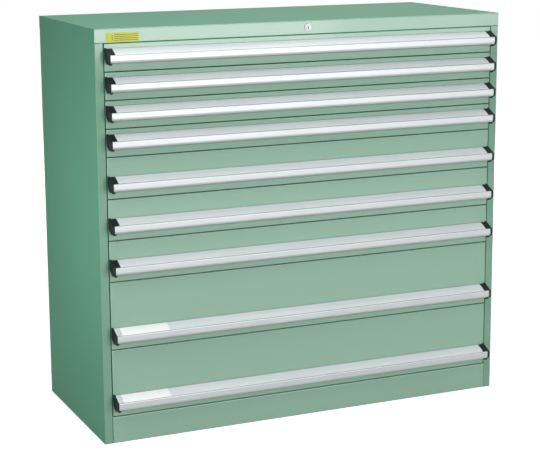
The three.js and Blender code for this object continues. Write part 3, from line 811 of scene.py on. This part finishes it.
def make_divider_strips(number):
    """Two thin strips with a row of upright slots, which dividers would hook into."""
    low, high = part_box(f"drawer_{number}_tray")
    end = TRAY_HALF - TRAY_SHEET - DIVIDER_STRIP_GAP
    bottom = drawer_low(number) + TRAY_FLOOR_GAP + TRAY_SHEET + DIVIDER_STRIP_GAP
    top = high.z - TRAY_SHEET - DIVIDER_STRIP_GAP
    levels = [bottom, bottom + DIVIDER_STRIP_RAIL, top - DIVIDER_STRIP_RAIL, top]
    pitch = 2 * end / DIVIDER_SLOTS
    sides = [-end]
    for slot in range(DIVIDER_SLOTS):
        middle = pitch * (slot + 1 / 2) - end
        sides += [middle - DIVIDER_SLOT_WIDTH / 2, middle + DIVIDER_SLOT_WIDTH / 2]
    sides.append(end)
    work = bmesh.new()
    for wall, inward in ((low.y + TRAY_SHEET, 1), (high.y - TRAY_SHEET, -1)):
        near = wall + inward * SEAT
        add_slotted_plate(work, sides, levels, near, near + inward * DIVIDER_STRIP_THICKNESS)
    body = f"drawer_{number}"
    make_piece(f"{body}_divider_strips", work, ZINC, body)


def add_slotted_plate(work, sides, levels, y_near, y_far):
    """Adds a plate of three rows to a mesh, with every second column of the middle row left open."""
    grid = [[work.verts.new((x, y_near, z)) for x in sides] for z in levels]
    faces = []
    for row, (under, over) in enumerate(zip(grid, grid[1:])):
        for column in range(len(sides) - 1):
            if row == 1 and column % 2 == 1:
                continue
            corners = (under[column], under[column + 1], over[column + 1], over[column])
            faces.append(work.faces.new(corners))
    thicken(work, faces, y_far)


def make_rosette():
    """The lock's dished chrome collar, which stays: a profile of radius and y, turned round."""
    low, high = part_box("lock_housing")
    face = low.y - LOCK_PROUD
    bore = LOCK_PLUG_RADIUS + SEAT
    profile = [
        (bore, high.y),
        (bore, face + LOCK_DISH),
        (bore + LOCK_DISH, face),
        (LOCK_RADIUS - LOCK_CHAMFER, face),
        (LOCK_RADIUS, face + LOCK_CHAMFER),
        (LOCK_RADIUS, FRONT_Y - SEAT),
        (LOCK_RADIUS * COLLAR_SHARE, FRONT_Y - SEAT),
        (LOCK_RADIUS * COLLAR_SHARE, high.y),
    ]
    work = bmesh.new()
    rings = []
    for radius, y in profile:
        rings.append([work.verts.new((x, y, z)) for x, z in circle(0, LOCK_Z, radius, LOCK_SIDES)])
    for near, far in zip(rings, rings[1:] + rings[:1]):
        bridge(work, near, far)
    make_piece("lock_rosette", work, CHROME, "casing")


def make_plug_face():
    """The turning face of the lock's plug, with a keyhole, and a black disc behind it as painted shade
    in the keyhole.
    """
    plug_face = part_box("lock_cylinder")[0].y
    shade = plug_face - PLUG_PROUD
    rim = circle(0, LOCK_Z, LOCK_PLUG_RADIUS - SEAT, LOCK_SIDES)
    middle = LOCK_Z - KEYHOLE_DROP
    keyhole = rectangle(
        -KEYHOLE_WIDTH / 2, middle - KEYHOLE_HEIGHT / 2,
        KEYHOLE_WIDTH / 2, middle + KEYHOLE_HEIGHT / 2,
    )
    work = bmesh.new()
    add_plate(work, [rim, keyhole], shade - PLUG_THICKNESS, shade)
    make_piece("lock_plug_face", work, CHROME, "lock_cylinder")
    # A black disc behind the keyhole: painted shade
    work = bmesh.new()
    add_plate(work, [rim], shade, plug_face)
    make_piece("lock_keyhole_painted_shade", work, BLACK, "lock_cylinder")


def make_plate():
    """A plain yellow plate with ruled lines, at the left end of the top strip."""
    face = FRONT_Y - PLATE_THICKNESS
    outline = rounded_rectangle(PLATE_LEFT, PLATE_LOW, PLATE_RIGHT, PLATE_HIGH, PLATE_CORNER)
    work = bmesh.new()
    add_plate(work, [outline], face, FRONT_Y)
    make_piece("yellow_plate", work, YELLOW, "casing")
    column = PLATE_LEFT + RULE_COLUMN
    low, high = PLATE_LOW + RULE_MARGIN, PLATE_HIGH - RULE_MARGIN
    rules = [rectangle(column, low, column + RULE_WIDTH, high)]
    for row in range(RULE_ROWS):
        z = low + (high - RULE_WIDTH - low) * row / (RULE_ROWS - 1)
        rules.append(rectangle(column + RULE_MARGIN, z, PLATE_RIGHT - RULE_MARGIN, z + RULE_WIDTH))
    work = bmesh.new()
    for rule in rules:
        add_plate(work, [rule], face - RULE_THICKNESS, face)
    make_piece("yellow_plate_rules", work, INK, "casing")


def make_rivets():
    """Blind rivets round the edge of the back panel, clear of the flanges over it."""
    work = bmesh.new()
    reach = HALF_WIDTH - REAR_FLANGE - RIVET_INSET
    columns = [reach * (2 * step / RIVET_COLUMNS - 1) for step in range(RIVET_COLUMNS + 1)]
    top = STRIP_LOW_Z - RIVET_INSET
    rows = [RIVET_INSET + (top - RIVET_INSET) * step / RIVET_ROWS for step in range(RIVET_ROWS + 1)]
    places = [(x, z) for x in columns for z in (rows[0], rows[-1])]
    places += [(x, z) for z in rows[1:-1] for x in (-reach, reach)]
    for x, z in places:
        add_dome(work, x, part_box("back_panel")[1].y, z)
    make_piece("back_rivets", work, ZINC, "casing")


def add_dome(work, x, y, z):
    """Adds a rivet's domed head, which faces the rear, to a mesh."""
    rings = []
    for share, rise in DOME_SHARES:
        points = circle(x, z, RIVET_RADIUS * share, RIVET_SIDES)
        rings.append([work.verts.new((px, y + RIVET_HEIGHT * rise, pz)) for px, pz in points])
    work.faces.new(rings[0])
    work.faces.new(rings[-1])
    for near, far in zip(rings, rings[1:]):
        bridge(work, near, far)


# Camera, light and floor
def make_camera():
    camera = bpy.data.objects.new("camera", bpy.data.cameras.new("camera"))
    bpy.context.scene.collection.objects.link(camera)
    camera.data.sensor_fit = "HORIZONTAL"
    camera.data.sensor_width = CAMERA_SENSOR_MM
    camera.data.lens = CAMERA_LENS_MM
    camera.data.shift_y = CAMERA_SHIFT_Y
    level = Vector((math.cos(CAMERA_YAW), -math.sin(CAMERA_YAW), 0))
    ahead = Vector((
        math.sin(CAMERA_YAW) * math.cos(CAMERA_PITCH),
        math.cos(CAMERA_YAW) * math.cos(CAMERA_PITCH),
        math.sin(CAMERA_PITCH),
    ))
    upward = level.cross(ahead)
    right = level * math.cos(CAMERA_ROLL) + upward * math.sin(CAMERA_ROLL)
    up = upward * math.cos(CAMERA_ROLL) - level * math.sin(CAMERA_ROLL)
    turn = Matrix((right, up, -ahead)).transposed().to_4x4()
    camera.matrix_world = Matrix.Translation(CAMERA_PLACE) @ turn
    bpy.context.scene.camera = camera


def make_lamp(name, place, target, size, power):
    """A soft box that the camera doesn't see."""
    lamp = bpy.data.lights.new(name, "AREA")
    lamp.shape = "RECTANGLE"
    lamp.size, lamp.size_y = size
    lamp.energy = power
    item = bpy.data.objects.new(name, lamp)
    bpy.context.scene.collection.objects.link(item)
    item.location = place
    item.rotation_euler = (Vector(target) - Vector(place)).to_track_quat("-Z", "Y").to_euler()
    item.visible_camera = False


def background_rays(tree):
    """1 for the rays that show the white background: from the camera, in gloss, and through glass."""
    path = tree.nodes.new("ShaderNodeLightPath")
    seen = path.outputs["Is Camera Ray"]
    for ray in ("Is Glossy Ray", "Is Transmission Ray"):
        either = tree.nodes.new("ShaderNodeMath")
        either.operation = "MAXIMUM"
        tree.links.new(seen, either.inputs[0])
        tree.links.new(path.outputs[ray], either.inputs[1])
        seen = either.outputs["Value"]
    return seen


def make_world():
    """White where the camera or a reflection looks, and a lower plain light on everything."""
    world = bpy.data.worlds.new("studio")
    bpy.context.scene.world = world
    world.use_nodes = True
    tree = world.node_tree
    background = tree.nodes["Background"]
    background.inputs["Color"].default_value = WHITE
    strength = tree.nodes.new("ShaderNodeMapRange")
    strength.inputs["To Min"].default_value = AMBIENT
    strength.inputs["To Max"].default_value = 1
    tree.links.new(background_rays(tree), strength.inputs["Value"])
    tree.links.new(strength.outputs["Result"], background.inputs["Strength"])


def floor_finish(name):
    """Pale and matt."""
    material = bpy.data.materials.new(name)
    material.use_nodes = True
    shader = material.node_tree.nodes["Principled BSDF"]
    shader.inputs["Base Color"].default_value = (*FLOOR_COLOUR, 1)
    shader.inputs["Roughness"].default_value = FLOOR_ROUGHNESS
    shader.inputs["Specular IOR Level"].default_value = 0
    return material


def whiten(material):
    """Lifts the floor towards white where the background shows, more so away from the object."""
    tree = material.node_tree
    distance = tree.nodes.new("ShaderNodeVectorMath")
    distance.operation = "LENGTH"
    tree.links.new(tree.nodes.new("ShaderNodeTexCoord").outputs["Object"], distance.inputs[0])
    lift = tree.nodes.new("ShaderNodeMapRange")
    lift.inputs["From Min"].default_value = FLOOR_NEAR
    lift.inputs["From Max"].default_value = FLOOR_FAR
    lift.inputs["To Min"].default_value = FLOOR_LIFT_NEAR
    lift.inputs["To Max"].default_value = FLOOR_LIFT_FAR
    tree.links.new(distance.outputs["Value"], lift.inputs["Value"])
    glow = tree.nodes.new("ShaderNodeMath")
    glow.operation = "MULTIPLY"
    tree.links.new(lift.outputs["Result"], glow.inputs[0])
    tree.links.new(background_rays(tree), glow.inputs[1])
    shader = tree.nodes["Principled BSDF"]
    shader.inputs["Emission Color"].default_value = WHITE
    tree.links.new(glow.outputs["Value"], shader.inputs["Emission Strength"])


def make_floor():
    """A floor that is white in the picture but for the object's shadow, and unlit under the object."""
    lit, unlit = floor_finish("pale_floor"), floor_finish("floor_under_the_object")
    whiten(lit)
    across = (-FLOOR_REACH, SHEET / 2 - HALF_WIDTH, HALF_WIDTH - SHEET / 2, FLOOR_REACH)
    along = (-FLOOR_REACH, FRONT_Y + SHEET / 2, REAR_Y - SHEET / 2, FLOOR_REACH)
    faces = []
    for row in range(len(along) - 1):
        for column in range(len(across) - 1):
            corner = row * len(across) + column
            faces.append((corner, corner + 1, corner + 1 + len(across), corner + len(across)))
    mesh = bpy.data.meshes.new("floor")
    mesh.from_pydata([(x, y, 0) for y in along for x in across], [], faces)
    mesh.materials.append(lit)
    mesh.materials.append(unlit)
    mesh.polygons[len(faces) // 2].material_index = 1
    floor = bpy.data.objects.new("floor", mesh)
    bpy.context.scene.collection.objects.link(floor)


dress_solids()
for number in DRAWERS:
    make_front(number)
    make_handle(number)
    make_label_strip(number)
    make_divider_strips(number)
    for side in (-1, 1):
        make_cap(number, side)
make_rosette()
make_plug_face()
make_plate()
make_rivets()

make_camera()
make_world()
make_floor()
for lamp in LAMPS:
    make_lamp(*lamp)
bpy.context.scene.view_settings.view_transform = "Standard"
